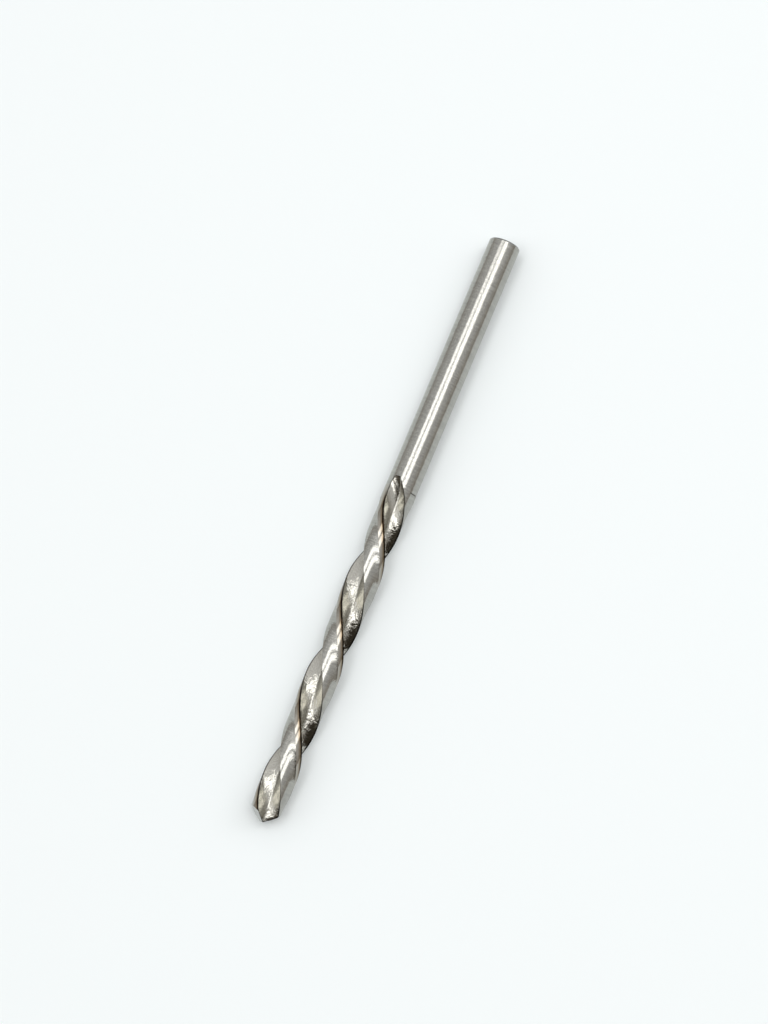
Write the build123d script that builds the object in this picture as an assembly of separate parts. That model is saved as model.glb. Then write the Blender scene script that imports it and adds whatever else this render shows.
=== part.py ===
from build123d import *
import os
from math import atan, atan2, cos, degrees, hypot, pi, radians, sin, sqrt, tan

# A left-hand twist drill bit, ground from one rod of high-speed steel. Sizes are in mm.
# It is built upright, from the point at z = 0 to the shank end, and then laid down on its side.

# Overall sizes
drill_diameter = 4.0
shank_diameter = 3.88
overall_length = 75.0
flute_length = 43.6
shank_chamfer = 0.18

# The twist: one full left-hand turn of the flutes takes this length of the bit
twist_length = 25.0

# Cross-section of the fluted body
web_thickness = 0.7
flute_opening = 91.5
margin_width = 0.86
margin_step_width = 1.2
land_clearance = 0.16
web_corner_radius = 0.3
web_corner_turn = 50.0

# How the flutes run out into the shank: they were cut by a wheel that lifts off the rod
flute_wheel_radius = 13.0
wheel_lift_direction = 80.0

# How the cleared lands stop below the end of the flutes
clearance_setback = 1.3
clearance_wheel_width = 1.4

# The ground point
point_angle = 118.0
lip_relief = 11.5
flank_radius = 5.2

# How the bit lies: the turn of its first cutting corner about its own axis, from the floor's plane
rest_turn = 75.0

# Worked out from the sizes above
body_radius = drill_diameter / 2
shank_radius = shank_diameter / 2
land_radius = body_radius - land_clearance
web_radius = web_thickness / 2
point_slope = 1 / tan(radians(point_angle / 2))
helix_angle = atan(pi * drill_diameter / twist_length)
degrees_per_mm = 360 / twist_length
heel_angle = 180 - flute_opening
margin_angle = degrees(margin_width / body_radius)
margin_step_angle = degrees(margin_step_width / body_radius)
corner_reach = sqrt(body_radius**2 - web_radius**2)
corner_angle = degrees(atan2(web_radius, corner_reach))
outside = 1.5 * body_radius


# Heights on the ground point

def flank_fall(distance):
    """How far the ground flank has fallen away, along the axis, at a distance behind its lip."""
    tilt = radians(lip_relief)
    across = distance + flank_radius * sin(tilt)
    fall = flank_radius * cos(tilt) - sqrt(flank_radius**2 - across**2)
    return fall / sin(radians(point_angle / 2))


# The middle of the chisel edge is the foremost point, at z = 0
lip_start_height = -flank_fall(web_radius)
corner_height = corner_reach * point_slope + lip_start_height


def turn_at(height):
    """Angle of the first cutting edge about the axis, at a height above the point."""
    return corner_angle - (height - corner_height) * degrees_per_mm


# Cross-section of the body, with the first cutting edge's corner at (body_radius, 0)

def polar(radius, angle):
    return (radius * cos(radians(angle)), radius * sin(radians(angle)))


def rake_point(reach):
    """A point of the rake face, where the helix through a point of the straight lip crosses."""
    twist = (reach - corner_reach) * point_slope * degrees_per_mm
    angle = degrees(atan2(web_radius, reach)) - corner_angle + twist
    return polar(hypot(reach, web_radius), angle)


def step_point(share):
    """A point of the step between a cleared land and its margin, which rises ever more steeply."""
    rise = land_clearance * share**3
    return polar(land_radius + rise, margin_step_angle * (share - 1) - margin_angle)


step_points = [step_point(i / 6) for i in range(7)]
lip_inner_reach = 0.75 * web_radius
rake_reaches = [corner_reach + (lip_inner_reach - corner_reach) * i / 5 for i in range(6)]


def flute_curve():
    """The flute's outline from the cutting edge, round the web, to the heel of the next land."""
    rake = Spline([rake_point(reach) for reach in rake_reaches])
    web = JernArc(rake @ 1, rake % 1, web_corner_radius, -web_corner_turn)
    wall = TangentArc(web @ 1, polar(land_radius, flute_opening), tangent=web % 1)
    return rake, web, wall


def body_section():
    """Full section of the fluted body: two lands, each with a margin, and two flutes."""
    step_end = margin_angle + margin_step_angle
    land = CenterArc((0, 0), land_radius, -heel_angle, heel_angle - step_end)
    margin = CenterArc((0, 0), body_radius, -margin_angle, margin_angle)
    half = [land, Spline(step_points), margin, *flute_curve()]
    other_half = [edge.rotate(Axis.Z, 180) for edge in half]
    return Face(Wire([*half, *other_half]))


def flute_section():
    """The space of one flute, closed well outside the rod."""
    rake, web, wall = flute_curve()
    wall_end = (wall @ 1) + (wall % 1) * outside
    closing = Polyline(wall @ 1, wall_end, (2 * outside, 2 * outside), (2 * outside, 0), rake @ 0)
    return Face(Wire([rake, web, wall, *closing.edges()]))


def clearance_section():
    """The thin layer ground off one land behind its margin, closed outside the rod."""
    step_end = margin_angle + margin_step_angle
    overlap = 0.15 * flute_opening
    land = CenterArc((0, 0), land_radius, -heel_angle - overlap, heel_angle + overlap - step_end)
    step = Spline(step_points)
    rim = CenterArc((0, 0), outside, -heel_angle - overlap, heel_angle + overlap - margin_angle)
    return Face(Wire([land, step, Line(step @ 1, rim @ 1), rim, Line(land @ 0, rim @ 0)]))


def twisted(section, low, high):
    """Extrude a section of the body from one height to another with the flutes' twist."""
    placed = section.moved(Pos(0, 0, low) * Rot(0, 0, turn_at(low)))
    rise = high - low
    twist = -rise * degrees_per_mm
    return Solid.extrude_linear_with_rotation(placed, (0, 0, low), (0, 0, rise), twist)


def pair(tool):
    """A cutting tool and its copy half a turn round the axis."""
    return [tool, tool.rotate(Axis.Z, 180)]


# The wheel lifts along a circle, until the flute's root leaves the rod at the end of the flutes

root_middle = flute_curve()[1] @ 0.5
lift_x, lift_y = polar(1, wheel_lift_direction)
root_along_lift = root_middle.X * lift_x + root_middle.Y * lift_y
full_lift = sqrt(root_along_lift**2 + shank_radius**2 - root_middle.length**2) - root_along_lift
runout_length = cos(helix_angle) * sqrt(flute_wheel_radius**2 - (flute_wheel_radius - full_lift)**2)
runout_start = flute_length - runout_length


def wheel_lift(height):
    """How far the wheel has lifted off the full depth of the flute, at a height."""
    travel = max(height - runout_start, 0) / cos(helix_angle)
    return flute_wheel_radius - sqrt(flute_wheel_radius**2 - travel**2)


def flute_runout():
    """One flute where it grows shallow: its section, lifted and turned from station to station."""
    station_pitch = runout_length / 6
    stations = [runout_start + station_pitch * i for i in range(-2, 8)]
    section = flute_section()
    lifted = []
    for height in stations:
        lift = wheel_lift(height)
        place = Pos(0, 0, height) * Rot(0, 0, turn_at(height)) * Pos(lift * lift_x, lift * lift_y, 0)
        lifted.append(section.moved(place))
    return loft(lifted)


def land_clearance_end():
    """The last stretch of a land's clearance, with its square end left by the grinding wheel."""
    stop = flute_length - clearance_setback
    layer = twisted(clearance_section(), runout_start, stop)
    side_turn = turn_at(stop - clearance_wheel_width) - heel_angle
    block = Box(
        4 * outside,
        2 * outside,
        2 * clearance_wheel_width,
        align=(Align.CENTER, Align.MAX, Align.MAX),
    )
    return layer - block.moved(Pos(0, 0, stop) * Rot(0, 0, side_turn))


# The solids of the bit

fluted_body = twisted(body_section(), 0, runout_start)

with BuildPart() as neck_and_shank:
    with BuildSketch(Plane.XZ):
        with BuildLine():
            Polyline(
                (0, runout_start),
                (body_radius, runout_start),
                (shank_radius, flute_length),
                (shank_radius, overall_length - shank_chamfer),
                (shank_radius - shank_chamfer, overall_length),
                (0, overall_length),
                close=True,
            )
        make_face()
    revolve(axis=Axis.Z)

shank = neck_and_shank.part - pair(land_clearance_end())
shank = shank - pair(flute_runout())


def flank_tool():
    """Everything in front of one flank: a round-backed flank that holds the straight lip."""
    tilt = radians(lip_relief)
    reach = 4 * flank_radius
    lip_plane = Plane(
        origin=(0, web_radius, lip_start_height),
        x_dir=(0, 1, 0),
        z_dir=(sin(radians(point_angle / 2)), 0, cos(radians(point_angle / 2))),
    )
    centre = Pos(flank_radius * sin(tilt), flank_radius * cos(tilt), 0)
    front = Box(reach, flank_radius * 2, reach, align=(Align.CENTER, Align.MAX, Align.CENTER))
    round_back = Cylinder(flank_radius, 2 * reach)
    return (centre * (front - round_back)).moved(lip_plane.location)


bit = fluted_body + shank
for tool in pair(flank_tool()):
    bit = bit - tool

# Laid down: the axis along X with the shank towards +X, and the floor at z = 0

lying = Plane(origin=(-overall_length / 2, 0, body_radius), x_dir=(0, 1, 0), z_dir=(1, 0, 0))
drill_bit = bit.moved(lying.location * Rot(0, 0, rest_turn - corner_angle))

os.makedirs("parts", exist_ok=True)
export_step(drill_bit, "parts/drill_bit.step")
print("volume", drill_bit.volume, "valid", drill_bit.is_valid, "solids", len(drill_bit.solids()))
print("box", drill_bit.bounding_box())
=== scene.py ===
# %% [markdown]
# # A left-hand twist drill bit
# A twist drill is one rod of high-speed steel that grinding wheels have shaped: two flutes wound
# round it, two lands left between them, and a point with two cutting lips. This one winds the other
# way from a common drill, so it cuts while the chuck turns backwards. The cells below load the
# measured model as a fixed frame, set the camera, build the bit's skin ring by ring, give each
# ground surface its own finish out of shader nodes, and light it.

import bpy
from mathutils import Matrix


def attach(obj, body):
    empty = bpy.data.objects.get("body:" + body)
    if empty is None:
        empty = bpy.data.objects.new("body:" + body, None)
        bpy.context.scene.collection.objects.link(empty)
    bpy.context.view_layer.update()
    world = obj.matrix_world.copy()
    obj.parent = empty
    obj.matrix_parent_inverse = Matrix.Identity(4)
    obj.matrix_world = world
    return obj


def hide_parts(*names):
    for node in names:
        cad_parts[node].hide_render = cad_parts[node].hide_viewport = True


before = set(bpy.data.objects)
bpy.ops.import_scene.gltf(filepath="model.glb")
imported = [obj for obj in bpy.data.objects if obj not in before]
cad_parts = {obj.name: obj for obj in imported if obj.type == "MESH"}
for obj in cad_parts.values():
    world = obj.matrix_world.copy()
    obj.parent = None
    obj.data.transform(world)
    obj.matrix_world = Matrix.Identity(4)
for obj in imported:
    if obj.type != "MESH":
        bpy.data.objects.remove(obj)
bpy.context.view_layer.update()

# %% [markdown]
# ## The camera
# The bit lies on a table and is seen from almost straight above, from about 26 cm away. A long lens
# keeps the rod's sides nearly parallel. The camera is turned so that the point is at the lower left
# of an upright frame. Its place could be tried by eye, but a few millimetres show on so slim a
# thing, so the numbers come from matching the rod's two sides, its end circle and the crossings of
# the flutes.

# %% Camera
import bpy
from math import radians

MM = 0.001
CAMERA_PLACE = (-32.530 * MM, -39.947 * MM, 257.953 * MM)
CAMERA_TURN = (radians(10.4353), radians(5.4355), radians(-67.1620))
FRAME_HEIGHT_PIXELS = 1024
FOCAL_PIXELS = 2200
SENSOR_HEIGHT = 36.0
NEAREST_SEEN = 10 * MM

camera_data = bpy.data.cameras.new("table_camera")
camera_data.sensor_fit = "VERTICAL"
camera_data.sensor_height = SENSOR_HEIGHT
camera_data.lens = SENSOR_HEIGHT * FOCAL_PIXELS / FRAME_HEIGHT_PIXELS
camera_data.clip_start = NEAREST_SEEN
camera = bpy.data.objects.new("table_camera", camera_data)
camera.location = CAMERA_PLACE
camera.rotation_euler = CAMERA_TURN
bpy.context.scene.collection.objects.link(camera)
bpy.context.scene.camera = camera
print("lens", round(camera_data.lens, 2), "mm")

# %% [markdown]
# ## Sizes of the bit
# All lengths are in millimetres and all angles in degrees, measured upright: the point stands at
# height 0 and the shank end at 75. The flutes turn once in 25 mm. A height and an angle round the
# axis place every point.

# %% Sizes
from math import atan, atan2, cos, degrees, pi, sin, sqrt, tan
import numpy as np

LENGTH = 75.0
FLUTE_LENGTH = 43.6
BODY_RADIUS = 2.0
SHANK_RADIUS = 1.94
CHAMFER = 0.18
TWIST_LENGTH = 25.0
WEB_RADIUS = 0.35
FLUTE_OPENING = 91.5
LAND_RADIUS = 1.84
MARGIN_WIDTH = 0.86
STEP_WIDTH = 1.2
WEB_CORNER_RADIUS = 0.3
WEB_CORNER_TURN = 50.0
FLUTE_WHEEL_RADIUS = 13.0
LIFT_DIRECTION = 80.0
CLEARANCE_SETBACK = 1.3
CLEARANCE_WHEEL_WIDTH = 1.4
POINT_ANGLE = 118.0
LIP_RELIEF = 11.5
FLANK_RADIUS = 5.2
REST_TURN = 75.0

TURN_PER_MM = 360 / TWIST_LENGTH
HELIX_ANGLE = atan(2 * pi * BODY_RADIUS / TWIST_LENGTH)
POINT_SLOPE = 1 / tan(radians(POINT_ANGLE / 2))
HEEL_ANGLE = 180 - FLUTE_OPENING
MARGIN_ANGLE = degrees(MARGIN_WIDTH / BODY_RADIUS)
STEP_END_ANGLE = MARGIN_ANGLE + degrees(STEP_WIDTH / BODY_RADIUS)
CORNER_REACH = sqrt(BODY_RADIUS**2 - WEB_RADIUS**2)
CORNER_ANGLE = degrees(atan2(WEB_RADIUS, CORNER_REACH))
print("helix angle", round(degrees(HELIX_ANGLE), 1), "degrees")

# %% [markdown]
# ## The ground point
# The point grinder sweeps each flank off as part of a wide cylinder, which leaves a straight lip in
# front and lets the steel behind it fall away. The point could be cut with booleans from a turned
# cone, but that leaves ragged faces. The height of the point over any spot of the section is a
# formula, so the flanks are drawn from it. They meet in the short chisel edge.

# %% Heights on the point
def flank_fall(behind):
    """How far a flank has fallen at a distance behind its lip."""
    tilt = radians(LIP_RELIEF)
    across = behind + FLANK_RADIUS * sin(tilt)
    drop = FLANK_RADIUS * cos(tilt) - np.sqrt(FLANK_RADIUS**2 - across**2)
    return drop / sin(radians(POINT_ANGLE / 2))


LIP_START = -flank_fall(WEB_RADIUS)
CORNER_HEIGHT = CORNER_REACH * POINT_SLOPE + LIP_START


def flank_heights(x, y):
    """Heights of the two flanks over a spot of the section, with the first lip along +x."""
    first = x * POINT_SLOPE + flank_fall(WEB_RADIUS - y) + LIP_START
    second = -x * POINT_SLOPE + flank_fall(WEB_RADIUS + y) + LIP_START
    return first, second


def point_height(x, y):
    """Height of the ground point over a spot of the section."""
    return np.maximum(*flank_heights(x, y))


def turn_at(height):
    """Angle of the first cutting edge about the axis, at a height."""
    return CORNER_ANGLE - (height - CORNER_HEIGHT) * TURN_PER_MM


print("lip corner", round(float(CORNER_HEIGHT), 3), "mm above the chisel edge")

# %% [markdown]
# ## One flute across
# Cut across, a flute is three curves: the rake face that ends in the straight lip, a tight corner
# at the web, and a long hollow wall up to the heel of the next land. A drawn curve with a few
# control points would come near it, but the lip is straight only if the rake face follows the twist
# exactly. So the line is worked out and sampled finely once. Every ring of the skin then picks its
# points from it by their distance along the line.

# %% Points of a section
def polar(radius, angle):
    """Points of a section by their radius and angle."""
    angle = np.radians(angle)
    return np.stack(np.broadcast_arrays(radius * np.cos(angle), radius * np.sin(angle)), -1)


def turned(points, angle):
    """Points of a section turned about the axis."""
    c, s = np.cos(np.radians(angle)), np.sin(np.radians(angle))
    x, y = points[..., 0], points[..., 1]
    return np.stack([x * c - y * s, x * s + y * c], -1)


def tangent_arc(start, heading, end, samples):
    """Points on the arc that leaves start in the direction heading and passes through end."""
    left = np.array([-heading[1], heading[0]])
    chord = end - start
    radius = (chord @ chord) / (2 * (chord @ left))
    centre = start + radius * left
    first = atan2(*(start - centre)[::-1])
    last = atan2(*(end - centre)[::-1])
    sweep = (last - first + pi) % (2 * pi) - pi
    return centre + polar(abs(radius), np.degrees(first + np.linspace(0, sweep, samples)))


print("a quarter turn of (1, 0):", turned(np.array([1.0, 0.0]), 90).round(3))

# %% The line of one flute
FACE_SAMPLES = 80
WEB_SAMPLES = 24
LIP_INNER_REACH = 0.75 * WEB_RADIUS
BEYOND_LENGTH = 2
BEYOND_SAMPLES = 20


def rake_points(reach):
    """The rake face: each spot of the straight lip, carried round by the twist to the corner."""
    twist = (reach - CORNER_REACH) * POINT_SLOPE * TURN_PER_MM
    angle = np.degrees(np.arctan2(WEB_RADIUS, reach)) - CORNER_ANGLE + twist
    return polar(np.hypot(reach, WEB_RADIUS), angle)


rake = rake_points(np.linspace(CORNER_REACH, LIP_INNER_REACH, FACE_SAMPLES))
rake_heading = rake[-1] - rake[-2]
rake_heading /= np.linalg.norm(rake_heading)
right = np.array([rake_heading[1], -rake_heading[0]])
web_sweep = np.linspace(0, -WEB_CORNER_TURN, WEB_SAMPLES)
web = rake[-1] + WEB_CORNER_RADIUS * (right - turned(right, web_sweep))
wall_heading = turned(rake_heading, -WEB_CORNER_TURN)
wall = tangent_arc(web[-1], wall_heading, polar(LAND_RADIUS, FLUTE_OPENING), FACE_SAMPLES)
wall_end_heading = (wall[-1] - wall[-2]) / np.linalg.norm(wall[-1] - wall[-2])
beyond_steps = np.linspace(0, BEYOND_LENGTH, BEYOND_SAMPLES + 1)[1:, None]
beyond = wall[-1] + beyond_steps * wall_end_heading

flute_line = np.concatenate([rake, web[1:], wall[1:], beyond])
flute_run = np.r_[0, np.cumsum(np.linalg.norm(np.diff(flute_line, axis=0), axis=1))]
RAKE_END = flute_run[len(rake) - 1]
WEB_END = flute_run[len(rake) + len(web) - 2]
WALL_END = flute_run[len(rake) + len(web) + len(wall) - 3]


def on_flute(run):
    """Points on the flute's line at distances along it from the cutting edge."""
    return np.stack([np.interp(run, flute_run, flute_line[:, i]) for i in (0, 1)], -1)


print("flute line", round(float(WALL_END), 2), "mm, rake face", round(float(RAKE_END), 2), "mm")

# %% [markdown]
# ## Where a flute runs out
# The flute wheel stops cutting by lifting off the rod along a circle, so the flute grows shallow
# over the last few millimetres and ends in a long spoon shape. Sculpting that shape would only be
# near it. The line of the flute stays the same and is only lifted, so what is left to find at each
# height is where it now cuts the round of the rod, on the rake side and on the heel side.

# %% Run-out
FINE_SAMPLES = 1600

root_middle = on_flute((RAKE_END + WEB_END) / 2)
lift_way = polar(1, LIFT_DIRECTION)
root_along = root_middle @ lift_way
full_lift = sqrt(root_along**2 + SHANK_RADIUS**2 - root_middle @ root_middle) - root_along
wheel_path = sqrt(FLUTE_WHEEL_RADIUS**2 - (FLUTE_WHEEL_RADIUS - full_lift) ** 2)
RUNOUT_START = FLUTE_LENGTH - cos(HELIX_ANGLE) * wheel_path
CLEARANCE_STOP = FLUTE_LENGTH - CLEARANCE_SETBACK
PAD_TURN = turn_at(CLEARANCE_STOP - CLEARANCE_WHEEL_WIDTH) - HEEL_ANGLE
fine_run = np.linspace(0, flute_run[-1], FINE_SAMPLES)


def wheel_lift(height):
    """How far the wheel has lifted off the full depth, at a height."""
    travel = max(height - RUNOUT_START, 0) / cos(HELIX_ANGLE)
    return FLUTE_WHEEL_RADIUS - sqrt(FLUTE_WHEEL_RADIUS**2 - travel**2)


def round_radius(height):
    """The rod's radius: the drill's up to the run-out, easing to the shank's at the flutes' end."""
    share = min(max((height - RUNOUT_START) / (FLUTE_LENGTH - RUNOUT_START), 0), 1)
    return BODY_RADIUS + share * (SHANK_RADIUS - BODY_RADIUS)


def crossings(height, heel_radius):
    """Where along the lifted flute line it enters the rod, and where it leaves it at the heel."""
    lifted = on_flute(fine_run) + wheel_lift(height) * lift_way
    reach = np.hypot(lifted[:, 0], lifted[:, 1])
    deepest = int(np.argmin(reach - round_radius(height)))
    found = []
    for step, limit in ((-1, round_radius(height)), (1, heel_radius)):
        i = deepest
        while 0 < i < len(reach) - 1 and reach[i] < limit:
            i += step
        inner, outer = reach[i - step], reach[i]
        share = 0.0 if outer <= inner else min(max((limit - inner) / (outer - inner), 0), 1)
        found.append(fine_run[i - step] + share * (fine_run[i] - fine_run[i - step]))
    return found


def angle_on(run, height):
    """Angle about the axis of a spot of the lifted flute line, from the cutting edge."""
    x, y = on_flute(run) + wheel_lift(height) * lift_way
    return degrees(atan2(y, x))


print("run-out starts at", round(RUNOUT_START, 2), "mm")

# %% [markdown]
# ## Rings of the skin
# The land of a drill is ground back behind its margin, so that only the margin rubs in the hole.
# A skin of such a thing could be cut out of a cylinder, but rings with the same number of points at
# every height join up without gaps and follow the grinding. Half a ring runs from one heel over the
# land, up the small step to the margin, over the cutting edge and through the flute to the next
# heel. The pad is what stays of the full round behind the square end of the ground-back land, and
# it has no width lower down. Points that fall on each other are merged later.

# %% One ring
PAD, LAND, STEP, MARGIN, RAKE, WEB, WALL = 3, 16, 12, 8, 20, 10, 22
OUTER = PAD + 1 + LAND + STEP + MARGIN
HALF = OUTER + RAKE + WEB + WALL
ZONES = ["pad"] * (PAD + 1) + ["land"] * LAND + ["step"] * STEP + ["margin"] * MARGIN
ZONES += ["flute"] * (RAKE + WEB + WALL)
ZONES += ZONES
NOT_ON_FLUTE = -1.0

step_share = np.linspace(0, 1, STEP + 1)
step_reach = LAND_RADIUS + (BODY_RADIUS - LAND_RADIUS) * step_share**3
step_curve = polar(step_reach, -STEP_END_ANGLE + step_share * (STEP_END_ANGLE - MARGIN_ANGLE))


def flute_points(height, enters, leaves):
    """A flute's points in one ring, with more of them round the tight web corner."""
    web_from = min(max(RAKE_END, enters), leaves)
    web_to = max(min(WEB_END, leaves), web_from)
    runs = np.concatenate([
        np.linspace(enters, web_from, RAKE + 1)[:-1],
        np.linspace(web_from, web_to, WEB + 1)[:-1],
        np.linspace(web_to, leaves, WALL + 1)[:-1],
    ])
    return on_flute(runs) + wheel_lift(height) * lift_way, runs


def cleared_outer(height, with_pad):
    """Heel to cutting edge where the land is ground back behind the margin."""
    rod = round_radius(height)
    running_out = height > RUNOUT_START
    if with_pad:
        pad_radius = rod
        heel = angle_on(crossings(height, rod)[1], height) - 180
        pad_end = PAD_TURN - turn_at(height)
    else:
        pad_radius = LAND_RADIUS
        heel = -HEEL_ANGLE
        if running_out:
            heel = angle_on(crossings(height, LAND_RADIUS)[1], height) - 180
        pad_end = heel
    edge = angle_on(crossings(height, LAND_RADIUS)[0], height) if running_out else 0.0
    pad = polar(pad_radius, np.linspace(heel, pad_end, PAD + 1))
    land = polar(LAND_RADIUS, np.linspace(pad_end, -STEP_END_ANGLE, LAND + 1))[:-1]
    step = step_curve[:-1] * np.minimum(1, rod / step_reach)[:-1, None]
    margin = polar(rod, np.linspace(-MARGIN_ANGLE, edge, MARGIN + 1))[:-1]
    return np.concatenate([pad, land, step, margin])


padded_stop = cleared_outer(CLEARANCE_STOP, True)
stop_angles = np.degrees(np.unwrap(np.arctan2(padded_stop[:, 1], padded_stop[:, 0])))
stop_edge = angle_on(crossings(CLEARANCE_STOP, LAND_RADIUS)[0], CLEARANCE_STOP)
stop_shares = (stop_angles - stop_angles[0]) / (stop_edge - stop_angles[0])


def round_outer(height, enters, leaves):
    """Heel to cutting edge on the full round, spread as at the stop and then ever more evenly."""
    heel, edge = angle_on(leaves, height) - 180, angle_on(enters, height)
    share = (height - CLEARANCE_STOP) / (FLUTE_LENGTH - CLEARANCE_STOP)
    ease = share * share * (3 - 2 * share)
    spread = (1 - ease) * stop_shares + ease * np.arange(OUTER) / OUTER
    return polar(round_radius(height), heel + spread * (edge - heel))


def ring(height, kind):
    """Half a ring with its runs along the flute. kind is cleared, padded or round."""
    enters, leaves = crossings(height, LAND_RADIUS if kind == "cleared" else round_radius(height))
    if height <= RUNOUT_START:
        enters, leaves = 0.0, WALL_END
    if kind == "round":
        outer = round_outer(height, enters, leaves)
    else:
        outer = cleared_outer(height, kind == "padded")
    flute, runs = flute_points(height, enters, leaves)
    outer_runs = np.full(OUTER, NOT_ON_FLUTE)
    outer_runs[0] = leaves
    return np.concatenate([outer, flute]), np.concatenate([outer_runs, runs])


print("points in a ring", 2 * HALF)

# %% [markdown]
# ## The skin
# The rings are stacked from the point to the shank end. The stack is closer where the flutes end,
# because the shape changes fast there. Near the point each column of points starts on the flanks,
# and the flanks themselves are drawn as rays from the chisel edge outwards, so that no ring is cut.

# %% Heights of the rings
HALVINGS = 40
POINT_BLEND = 3.0
RING_PITCH = 0.16
RUNOUT_RINGS, PAD_RINGS, SPOON_RINGS = 26, 14, 22
SPOON_GAP = 0.002


def pad_height():
    """Height at which the pad first shows beside the heel."""
    low, high = RUNOUT_START, CLEARANCE_STOP
    for _ in range(HALVINGS):
        middle = (low + high) / 2
        heel = angle_on(crossings(middle, round_radius(middle))[1], middle) - 180
        if PAD_TURN - turn_at(middle) > heel:
            high = middle
        else:
            low = middle
    return high


pad_start = pad_height()
body_rings = round((RUNOUT_START - POINT_BLEND) / RING_PITCH)
spoon_length = FLUTE_LENGTH - SPOON_GAP - CLEARANCE_STOP
slowing = 1 - (1 - np.linspace(0, 1, SPOON_RINGS)) ** 2
stack = [(h, "cleared") for h in np.linspace(POINT_BLEND, RUNOUT_START, body_rings)]
stack += [(h, "cleared") for h in np.linspace(RUNOUT_START, pad_start, RUNOUT_RINGS)[1:]]
stack += [(h, "padded") for h in np.linspace(pad_start, CLEARANCE_STOP, PAD_RINGS)]
stack += [(CLEARANCE_STOP + share * spoon_length, "round") for share in slowing]
print("rings", len(stack), "pad from", round(pad_start, 2), "mm")

# %% The edge of the point
SETTLING_ROUNDS = 60

half_section, half_runs = ring(POINT_BLEND, "cleared")
section = np.concatenate([half_section, -half_section])
section_runs = np.concatenate([half_runs, half_runs])
loop_height = np.zeros(len(section))
for _ in range(SETTLING_ROUNDS):
    loop = turned(section, turn_at(loop_height))
    loop_height = 0.5 * loop_height + 0.5 * point_height(loop[:, 0], loop[:, 1])

# A point of the loop is moved onto each crossing of the two flanks, so that the ridge is sharp
first, second = flank_heights(loop[:, 0], loop[:, 1])
gap = first - second
for i in range(len(loop)):
    j = (i + 1) % len(loop)
    if gap[i] * gap[j] < 0:
        share = gap[i] / (gap[i] - gap[j])
        nearest = i if share < 0.5 else j
        loop[nearest] = loop[i] + share * (loop[j] - loop[i])
loop_height = point_height(loop[:, 0], loop[:, 1])
print("the point's edge reaches up to", round(float(loop_height.max()), 2), "mm")

# %% Rows from the point to the shank end
FLANK_REACHES = (0.0, 0.12, 0.26, 0.42, 0.6, 0.8)
BLEND_RINGS = 16
SHANK_RINGS = 40
END_RING_RADIUS = 0.7

rows = []
row_zones = []


def add_row(spots, heights, runs, zone):
    """Adds one closed row of points. heights is one height for all, or one for each."""
    rows.append((spots, np.broadcast_to(heights, len(spots)), runs))
    row_zones.append(zone)


for reach in FLANK_REACHES:
    spots = loop * reach
    add_row(spots, point_height(spots[:, 0], spots[:, 1]), section_runs, "flank")
for share in np.linspace(0, 1, BLEND_RINGS, endpoint=False):
    heights = loop_height + share * (POINT_BLEND - loop_height)
    spots = turned(section, turn_at(heights)) if share else loop
    add_row(spots, heights, section_runs, "body")
for height, kind in stack:
    half, runs = ring(height, kind)
    spots = turned(np.concatenate([half, -half]), turn_at(height))
    add_row(spots, height, np.concatenate([runs, runs]), "body")

last_spots = rows[-1][0]
last_angles = np.arctan2(last_spots[:, 1], last_spots[:, 0])
last_ways = np.stack([np.cos(last_angles), np.sin(last_angles)], -1)
no_runs = np.full(len(section), NOT_ON_FLUTE)
for height in np.linspace(FLUTE_LENGTH, LENGTH - CHAMFER, SHANK_RINGS):
    add_row(SHANK_RADIUS * last_ways, height, no_runs, "body")
for radius in (SHANK_RADIUS - CHAMFER, END_RING_RADIUS, 0.0):
    add_row(radius * last_ways, LENGTH, no_runs, "end")
print("rows", len(rows), "columns", len(section))

# %% [markdown]
# ## From rows to a mesh
# On the real bit a finish is the trace of the last wheel, so it follows the form. Painting finishes
# by hand would miss the edges. Here each face takes its finish from its place in the rows, and each
# corner keeps how far it lies across the flute and along the bit, for the shaders to use.

# %% Which finish a face has
FINISHES = ["ground_body", "margin", "flute", "flank", "shank_end", "step_corner"]
STEP_CORNER_REACH = 0.15
PAD_CORNER_COLUMNS = 2


def finish_at(row, column):
    """The finish of the face that starts at a row and column."""
    if row_zones[row] == "flank":
        return "flank"
    if row_zones[row + 1] == "end":
        return "shank_end"
    zone = ZONES[column]
    low, high = rows[row][1][column], rows[row + 1][1][column]
    if high > FLUTE_LENGTH:
        return "ground_body"
    by_end = zone in ("land", "step") and low > CLEARANCE_STOP - STEP_CORNER_REACH
    by_pad = PAD <= column % HALF <= PAD + PAD_CORNER_COLUMNS and low >= pad_start
    # Faces in the step's inner corner and beside the pad take the finish painted dark as shade
    if high <= CLEARANCE_STOP and (by_end or by_pad):
        return "step_corner"
    if zone == "flute" or (zone == "margin" and low < CLEARANCE_STOP):
        return zone
    return "ground_body"


print("finishes", FINISHES)

# %% Join the rows
SAME_PLACE_DIGITS = 5
TRIANGLE_CORNERS = 3

places = {}
points = []
heights_over_point = []
faces = []
finish_of_face = []
corner_marks = []
corner_rims = []


def place_index(row, column):
    """Index of a point, shared by all points that fall on the same spot."""
    spots, heights, _ = rows[row]
    x, y = turned(spots[column], REST_TURN - CORNER_ANGLE)
    z = heights[column]
    key = tuple(round(value, SAME_PLACE_DIGITS) for value in (x, y, z))
    if key not in places:
        places[key] = len(points)
        points.append(((z - LENGTH / 2) * MM, x * MM, (BODY_RADIUS + y) * MM))
        heights_over_point.append(z - loop_height[column])
    return places[key]


def note_corner(row, column, zone, edge_column):
    """Keeps a face corner's place across and along, and its distances from the flute's rims."""
    spots, heights, runs = rows[row]
    run = runs[column]
    if zone == "margin":
        run = -np.hypot(*(spots[column] - spots[edge_column]))
    corner_marks.append((run, heights[column]))
    corner_rims.append((run - runs[OUTER], runs[0] - run))


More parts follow.
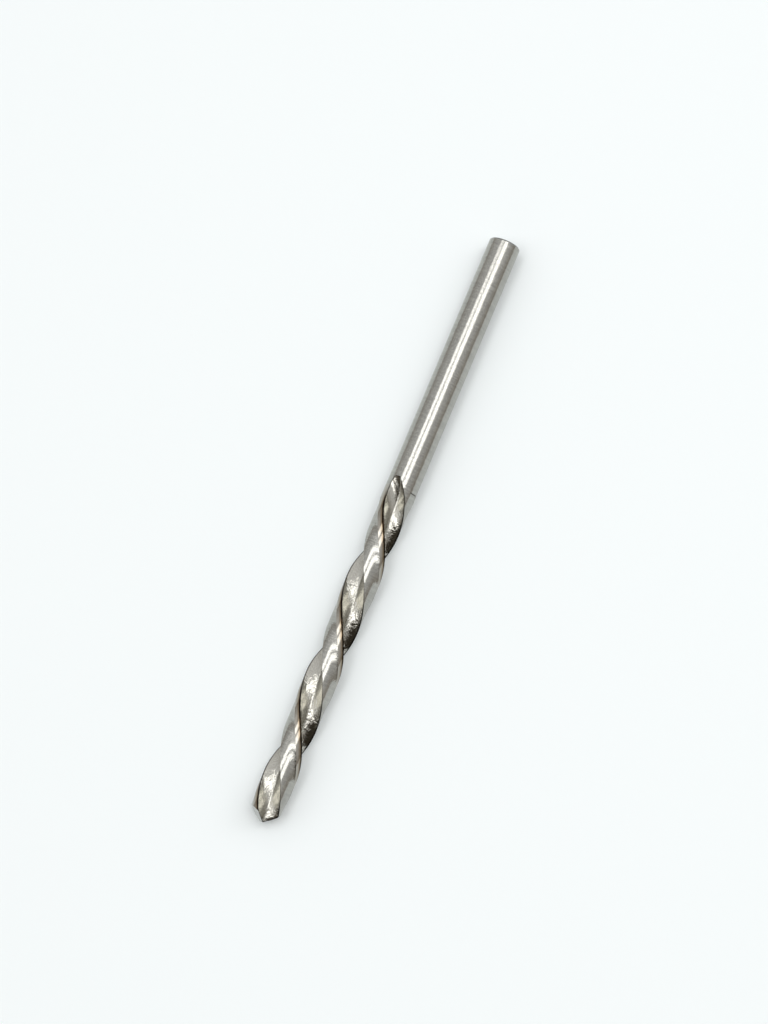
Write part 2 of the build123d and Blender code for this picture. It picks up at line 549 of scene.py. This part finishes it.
columns = len(section)
index = [[place_index(r, c) for c in range(columns)] for r in range(len(rows))]
for r in range(len(rows) - 1):
    for c in range(columns):
        d = (c + 1) % columns
        kept = []
        for row, column in ((r, c), (r, d), (r + 1, d), (r + 1, c)):
            if all(index[row][column] != index[a][b] for a, b in kept):
                kept.append((row, column))
        if len(kept) < TRIANGLE_CORNERS:
            continue
        faces.append([index[row][column] for row, column in kept])
        finish_of_face.append(FINISHES.index(finish_at(r, c)))
        for row, column in kept:
            note_corner(row, column, ZONES[c], c - c % HALF + OUTER)
print("points", len(points), "faces", len(faces))

# %% Mesh object
SHARP_FROM = radians(17)

mesh = bpy.data.meshes.new("drill_bit_skin")
mesh.from_pydata(points, [], faces)
mesh.polygons.foreach_set("material_index", finish_of_face)
mesh.polygons.foreach_set("use_smooth", [True] * len(faces))
for layer_name, values in (("across_along", corner_marks), ("from_rims", corner_rims)):
    layer = mesh.uv_layers.new(name=layer_name)
    layer.data.foreach_set("uv", np.array(values, np.float32).ravel())
over_point = mesh.attributes.new("height_over_point", "FLOAT", "POINT")
over_point.data.foreach_set("value", heights_over_point)
mesh.set_sharp_from_angle(angle=SHARP_FROM)
mesh.update()
bit = bpy.data.objects.new("drill_bit_skin", mesh)
bpy.context.scene.collection.objects.link(bit)
print("triangles", sum(len(face) - 2 for face in faces))

# %% [markdown]
# ## Finishes
# Everything on the bit is the same high-speed steel, and what differs is the last wheel that
# touched it. One plain metal would look like chrome, and a photographed texture can't follow the
# flutes. So each finish is a metal of its own, made of noise whose cells have the size of the real
# marks. The helpers below make nodes, and the cells after them make one finish each.

# %% Helpers for materials
def linear(hex_colour):
    """An sRGB hex colour as linear RGBA."""
    values = [int(hex_colour[i:i + 2], 16) / 255 for i in (1, 3, 5)]
    return (*[v / 12.92 if v <= 0.04045 else ((v + 0.055) / 1.055) ** 2.4 for v in values], 1.0)


def add_node(tree, kind, inputs=None, **settings):
    """Adds a node, sets its properties, and sets or links its inputs."""
    node = tree.nodes.new(kind)
    for name, value in settings.items():
        setattr(node, name, value)
    for name, value in (inputs or {}).items():
        if isinstance(value, bpy.types.NodeSocket):
            tree.links.new(value, node.inputs[name])
        else:
            node.inputs[name].default_value = value
    return node


def new_material(name):
    """An empty node material and its tree."""
    material = bpy.data.materials.new(name)
    material.use_nodes = True
    material.node_tree.nodes.clear()
    return material, material.node_tree


print("#808080 is", round(linear("#808080")[0], 3), "in linear light")

# %% Helpers for marks and tones
def maths(tree, operation, *values):
    """A sum, product or other step on numbers or sockets."""
    step = add_node(tree, "ShaderNodeMath", dict(enumerate(values)), operation=operation)
    return step.outputs["Value"]


def noise(tree, coordinates, cell, detail=2.0, seed=0.0, distortion=0.0):
    """Noise whose cells have the given size across and along, in the coordinates' units."""
    across, along = cell
    place = add_node(tree, "ShaderNodeMapping", {
        "Vector": coordinates,
        "Location": (seed, seed, seed),
        "Scale": (1 / across, 1 / along, 1 / along)})
    texture = add_node(tree, "ShaderNodeTexNoise", {
        "Vector": place.outputs["Vector"],
        "Scale": 1.0, "Detail": detail, "Distortion": distortion})
    return texture.outputs["Fac"]


def ramp(tree, value, low, high, to_low=0.0, to_high=1.0):
    """Carries a value smoothly from one range to another, held at the ends."""
    carried = add_node(tree, "ShaderNodeMapRange", {
        "Value": value, "From Min": low, "From Max": high,
        "To Min": to_low, "To Max": to_high}, interpolation_type="SMOOTHSTEP")
    return carried.outputs["Result"]


def mixed(tree, factor, first, second):
    """A mix of two colours or colour sockets. The Mix node keeps its colours in slots 6 and 7."""
    mix = add_node(tree, "ShaderNodeMix", {0: factor, 6: first, 7: second}, data_type="RGBA")
    return mix.outputs[2]


def bumped(tree, height, depth, normal=None):
    """A normal bumped by a height of at most the given depth, on top of another if given."""
    inputs = {"Height": height, "Distance": depth}
    if normal:
        inputs["Normal"] = normal
    return add_node(tree, "ShaderNodeBump", inputs).outputs["Normal"]


def uv_axes(tree, layer_name):
    """A UV layer's socket, and its two axes as values."""
    uv = add_node(tree, "ShaderNodeUVMap", uv_map=layer_name).outputs["UV"]
    axes = add_node(tree, "ShaderNodeSeparateXYZ", {"Vector": uv})
    return uv, axes.outputs["X"], axes.outputs["Y"]


def finish_metal(tree, colour, roughness, normal):
    """Ends a tree in one metal."""
    shader = add_node(tree, "ShaderNodeBsdfPrincipled", {
        "Base Color": colour, "Metallic": 1.0, "Roughness": roughness, "Normal": normal})
    add_node(tree, "ShaderNodeOutputMaterial", {"Surface": shader.outputs["BSDF"]})


print("marks across the flute are measured in mm, up to", round(float(WALL_END), 1))

# %% [markdown]
# ### Ground round steel
# The shank and lands were ground between two wheels while the rod spun, which leaves fine rings
# round it. Real rings are only microns apart. A stretched bitmap would repeat, so the rings are a
# noise with long cells round the axis, 0.12 mm apart so that they show in the picture. Weak wide
# patches bend the reflections a little, as a hand-held photo of such steel shows.

# %% Ground round steel
RING_CELL, RING_DEPTH = (0.12 * MM, 4 * MM), 0.007 * MM
PATCH_CELL, PATCH_DEPTH = (0.5 * MM, 0.7 * MM), 0.012 * MM
GRAIN_CELL, GRAIN_DEPTH = (0.13 * MM, 0.13 * MM), 0.010 * MM
DULL_SHARE, BRIGHT_SHARE = 1.25, 0.85
NOISE_LOW, NOISE_HIGH = 0.3, 0.7
TWO_NOISES_LOW, TWO_NOISES_HIGH = 0.75, 1.25


def ground_steel(name, colour, shade, roughness):
    """Steel with fine rings round the bit's axis, in tone, polish and bump."""
    material, tree = new_material(name)
    position = add_node(tree, "ShaderNodeTexCoord").outputs["Object"]
    rings = noise(tree, position, RING_CELL, detail=3.0)
    patches = noise(tree, position, PATCH_CELL, detail=1.0, seed=3.0)
    grain = noise(tree, position, GRAIN_CELL, seed=7.0)
    both = maths(tree, "ADD", rings, grain)
    tone = ramp(tree, both, TWO_NOISES_LOW, TWO_NOISES_HIGH)
    steel = mixed(tree, tone, linear(shade), linear(colour))
    rough = ramp(
        tree, rings, NOISE_LOW, NOISE_HIGH, roughness * DULL_SHARE, roughness * BRIGHT_SHARE)
    normal = bumped(tree, rings, RING_DEPTH)
    normal = bumped(tree, patches, PATCH_DEPTH, normal)
    normal = bumped(tree, grain, GRAIN_DEPTH, normal)
    finish_metal(tree, steel, rough, normal)
    return material


print("rings", RING_CELL[0] / MM, "mm apart")

# %% [markdown]
# ### Margins
# The margins of the bit are tinted straw to brown, and along the cutting edge a near-black line is
# painted as shade. A strip of another material would end in a hard edge. So the tint and the
# painted shade grow towards the cutting edge with an uneven front, and fade where the margins run
# into the full round of the shank.

# %% Margin steel
WAVE_CELL, WAVE_SHARE = (0.8, 0.5), 0.16
BROWN_FROM, BROWN_TO = -0.62, -0.12
EDGE_SHADE_FROM, EDGE_SHADE_TO = -0.20, -0.10
FADE_LENGTH = 2.5
MARGIN_RING_DEPTH = 0.004 * MM
MARGIN_ROUGHNESS = 0.15


def margin_steel(name):
    """Straw to brown steel, with painted shade along the cutting edge."""
    material, tree = new_material(name)
    position = add_node(tree, "ShaderNodeTexCoord").outputs["Object"]
    rings = noise(tree, position, RING_CELL, detail=3.0)
    marks, across, along = uv_axes(tree, "across_along")
    wave = noise(tree, marks, WAVE_CELL)
    uneven = maths(tree, "MULTIPLY_ADD", wave, WAVE_SHARE, across)
    fading = ramp(tree, along, CLEARANCE_STOP - FADE_LENGTH, CLEARANCE_STOP, 1.0, 0.0)
    to_brown = maths(tree, "MULTIPLY", ramp(tree, uneven, BROWN_FROM, BROWN_TO), fading)
    painted_edge_shade = maths(tree, "MULTIPLY", ramp(tree, uneven, EDGE_SHADE_FROM, EDGE_SHADE_TO), fading)
    tint = mixed(tree, to_brown, linear("#A5A199"), linear("#857763"))
    # Painted shade: a near-black line along the cutting edge
    steel = mixed(tree, painted_edge_shade, tint, linear("#1E150B"))
    finish_metal(tree, steel, MARGIN_ROUGHNESS, bumped(tree, rings, MARGIN_RING_DEPTH))
    return material


print("brown from", -BROWN_FROM, "mm off the cutting edge")

# %% [markdown]
# ### Flutes
# A flute is ground deep in one pass, so its steel is wavier than the rest: scallops along the web
# and eddies on the faces. Along both edges and behind the lips the steel is painted dark as shade.
# Modelled scallops would need millions of faces, so they are bump, deepest at the web and nearly
# gone in the spoon at the end, which the lifting wheel leaves smooth. The painted shade lines sit
# at real edges of the form, so they use the distances that the mesh carries.

# %% Flute steel
FEED_CELL = (0.3, 0.26)
EDDY_CELL = (0.4, 0.6)
FLUTE_GRAIN_CELL, FLUTE_GRAIN_DEPTH = (0.16, 0.12), 0.012 * MM
FEED_DEPTH_AT_WEB, FEED_DEPTH_ON_FACES = 0.09 * MM, 0.014 * MM
EDDY_DEPTH, EDDY_DEPTH_IN_SPOON = 0.05 * MM, 0.006 * MM
FEED_SHARE_IN_SPOON = 0.1
WEB_REACH = (0.1, 0.5)
FLUTE_DULL, FLUTE_BRIGHT = 0.17, 0.11
SMOOTH_FROM, SMOOTH_TO = FLUTE_LENGTH - 7, FLUTE_LENGTH - 3
EDGE_SHADE_LINE = (0.05, 0.14)
HEEL_SHADE_LINE = (0.05, 0.26)
LIP_SHADE_LINE = (0.05, 0.22)


def clear_of_painted_rim_shade(tree):
    """1 on the flute's face, falling to 0 on the painted shade lines along its edges and its lip.
    """
    _, from_edge, from_heel = uv_axes(tree, "from_rims")
    over_lip = add_node(tree, "ShaderNodeAttribute", attribute_name="height_over_point")
    clear = maths(
        tree, "MULTIPLY", ramp(tree, from_edge, *EDGE_SHADE_LINE), ramp(tree, from_heel, *HEEL_SHADE_LINE))
    return maths(tree, "MULTIPLY", clear, ramp(tree, over_lip.outputs["Fac"], *LIP_SHADE_LINE))


def flute_steel(name):
    """Wavy warm steel with painted shade lines along the flute's edges."""
    material, tree = new_material(name)
    marks, across, along = uv_axes(tree, "across_along")
    feed = noise(tree, marks, FEED_CELL, detail=1.0, distortion=0.8)
    eddies = noise(tree, marks, EDDY_CELL, detail=1.5, seed=2.0, distortion=0.6)
    grain = noise(tree, marks, FLUTE_GRAIN_CELL, seed=5.0)
    tone = ramp(tree, grain, NOISE_LOW, NOISE_HIGH)
    steel = mixed(tree, tone, linear("#AFADA5"), linear("#C2C0B8"))
    # Painted shade: near-black lines along the flute's edge, its heel and behind the lips
    steel = mixed(tree, clear_of_painted_rim_shade(tree), linear("#1E1A16"), steel)
    from_web = maths(tree, "SUBTRACT", across, float(RAKE_END + WEB_END) / 2)
    from_web = maths(tree, "ABSOLUTE", from_web)
    feed_depth = ramp(tree, from_web, *WEB_REACH, FEED_DEPTH_AT_WEB, FEED_DEPTH_ON_FACES)
    spoon_share = ramp(tree, along, SMOOTH_FROM, SMOOTH_TO, 1.0, FEED_SHARE_IN_SPOON)
    feed_depth = maths(tree, "MULTIPLY", feed_depth, spoon_share)
    eddy_depth = ramp(tree, along, SMOOTH_FROM, SMOOTH_TO, EDDY_DEPTH, EDDY_DEPTH_IN_SPOON)
    normal = bumped(tree, feed, feed_depth)
    normal = bumped(tree, eddies, eddy_depth, normal)
    normal = bumped(tree, grain, FLUTE_GRAIN_DEPTH, normal)
    rough = ramp(tree, grain, NOISE_LOW, NOISE_HIGH, FLUTE_DULL, FLUTE_BRIGHT)
    finish_metal(tree, steel, rough, normal)
    return material


print("feed marks up to", FEED_DEPTH_AT_WEB / MM, "mm deep")

# %% [markdown]
# ### The finishes together
# The point was ground with a finer wheel and is the brightest. The end of the shank was only turned
# and is dull, and its dark colour is painted shade for the darker reflection of its chamfer. The
# small inner corner where the ground-back land stops is painted dark as shade, which draws it as a
# dark line.

# %% Put the finishes on
materials = {
    "ground_body": ground_steel("centreless_ground_high_speed_steel", "#AFAEA8", "#999893", 0.13),
    "margin": margin_steel("straw_tinted_margin_steel_with_painted_edge_shade"),
    "flute": flute_steel("flute_ground_steel_with_painted_rim_shade"),
    "flank": ground_steel("point_ground_high_speed_steel", "#B8B9B5", "#A6A6A2", 0.2),
    # Painted shade: the shank end's dark colours stand in for the darker reflection of its chamfer
    "shank_end": ground_steel("turned_shank_end_with_painted_shade", "#6E6E6B", "#5E5E5B", 0.3),
    # Painted shade: the inner corner of the step is coloured dark
    "step_corner": ground_steel("painted_shade_in_step_corner", "#6E6C67", "#56544F", 0.35),
}
for finish in FINISHES:
    mesh.materials.append(materials[finish])
print("finishes", len(materials))

# %% [markdown]
# ## The table
# The photo was taken on a white matt surface with no edge in view. A paper sweep would do, but a
# flat sheet that is far wider than the picture looks the same from above. Its white is very
# slightly blue, and it is what the lower half of the bit mirrors.

# %% Table
TABLE_HALF_SIDE = 1.5

side = TABLE_HALF_SIDE
table_corners = [(-side, -side, 0), (side, -side, 0), (side, side, 0), (-side, side, 0)]
floor_mesh = bpy.data.meshes.new("white_table")
floor_mesh.from_pydata(table_corners, [], [(0, 1, 2, 3)])
floor = bpy.data.objects.new("white_table", floor_mesh)
bpy.context.scene.collection.objects.link(floor)
floor_material, floor_tree = new_material("white_laminate")
floor_shader = add_node(floor_tree, "ShaderNodeBsdfDiffuse", {"Color": linear("#F2F7F8")})
add_node(floor_tree, "ShaderNodeOutputMaterial", {"Surface": floor_shader.outputs["BSDF"]})
floor_mesh.materials.append(floor_material)
print("table", 2 * TABLE_HALF_SIDE, "m wide")

# %% [markdown]
# ## The lights
# Bare steel shows the room more than itself. The two long highlights on the shank are two bright
# panels overhead, and the highlights in the flutes show how far the panels reach along the bit. A
# light could be tried by eye for each, but a reflection tells where it comes from: the way back
# from the camera off the steel gave each panel's place and size.

# %% Softboxes
SOFTBOX_HEIGHT = 0.6
SOFTBOX_RADIANCE = 2.4


def softbox(name, centre, size, turn=0):
    """A ceiling softbox. Its place and size are given in heights above the table."""
    data = bpy.data.lights.new(name, "AREA")
    data.shape = "RECTANGLE"
    data.size = size[0] * SOFTBOX_HEIGHT
    data.size_y = size[1] * SOFTBOX_HEIGHT
    data.energy = SOFTBOX_RADIANCE * pi * data.size * data.size_y
    lamp = bpy.data.objects.new(name, data)
    lamp.location = (centre[0] * SOFTBOX_HEIGHT, centre[1] * SOFTBOX_HEIGHT, SOFTBOX_HEIGHT)
    lamp.rotation_euler = (0, 0, radians(turn))
    bpy.context.scene.collection.objects.link(lamp)
    print(name, round(data.energy, 2), "W")


softbox("softbox_left", (-0.08, 0.263), (0.90, 0.344))
softbox("softbox_right", (0.10, -0.28), (0.64, 0.414))
softbox("softbox_back", (0.683, -0.674), (1.54, 0.25), turn=-55)

# %% [markdown]
# ### The room
# The rest of the room is a soft sky, brighter overhead. Its lobes are read off the steel in the
# same way: a direction, how nearly a view must point there before the lobe starts and until it is
# full, and how much brightness it adds or takes. The dark one on the side of the point gives the
# flutes their deep shades, and dim parts of the room are a little warmer than bright ones.

# %% Sky
SKY_AT_TABLE, SKY_OVERHEAD, OVERHEAD_FROM = 0.46, 0.74, 0.85
DARKEST_SKY = 0.04
FULLY_WHITE = 0.8
LOBES = [
    ((0, 1, 0), 0.1, 0.9, 0.08),
    ((1, 0, 0), 0.2, 0.6, 0.1),
    ((1, 0, 0), 0.84, 0.95, -0.4),
    ((1, 0, 0), 0.6, 0.8, 0.14),
    ((-0.97, -0.2, 0.15), 0.41, 0.54, -0.76),
    ((-1, 0, 0), 0.74, 0.86, 0.6),
    ((-0.31, 0.64, 0.70), 0.9, 0.99, 0.5),
    ((0.57, -0.58, 0.58), 0.93, 0.99, 0.4),
]

world = bpy.data.worlds.new("studio")
bpy.context.scene.world = world
world.use_nodes = True
sky_tree = world.node_tree
sky_tree.nodes.clear()
view_way = add_node(sky_tree, "ShaderNodeTexCoord").outputs["Generated"]


def toward(direction):
    """How nearly a direction of the sky points the given way, from -1 to 1."""
    unit = np.array(direction) / np.linalg.norm(direction)
    node = add_node(sky_tree, "ShaderNodeVectorMath", {0: view_way}, operation="DOT_PRODUCT")
    node.inputs[1].default_value = [float(v) for v in unit]
    return node.outputs["Value"]


strength = ramp(sky_tree, toward((0, 0, 1)), 0.0, OVERHEAD_FROM, SKY_AT_TABLE, SKY_OVERHEAD)
for direction, starts, full, gain in LOBES:
    lobe = ramp(sky_tree, toward(direction), starts, full, 0.0, gain)
    strength = maths(sky_tree, "ADD", strength, lobe)
strength = maths(sky_tree, "MAXIMUM", strength, DARKEST_SKY)
whiteness = ramp(sky_tree, strength, 0.0, FULLY_WHITE)
sky_colour = mixed(sky_tree, whiteness, linear("#FFEBCB"), linear("#FFFFFF"))
sky = add_node(sky_tree, "ShaderNodeBackground", {"Color": sky_colour, "Strength": strength})
add_node(sky_tree, "ShaderNodeOutputWorld", {"Surface": sky.outputs["Background"]})
bpy.context.scene.view_settings.view_transform = "Standard"
print("sky lobes", len(LOBES))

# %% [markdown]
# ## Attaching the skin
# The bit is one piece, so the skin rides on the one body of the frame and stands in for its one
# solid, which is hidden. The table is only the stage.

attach(bit, "root")
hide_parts("drill_bit")
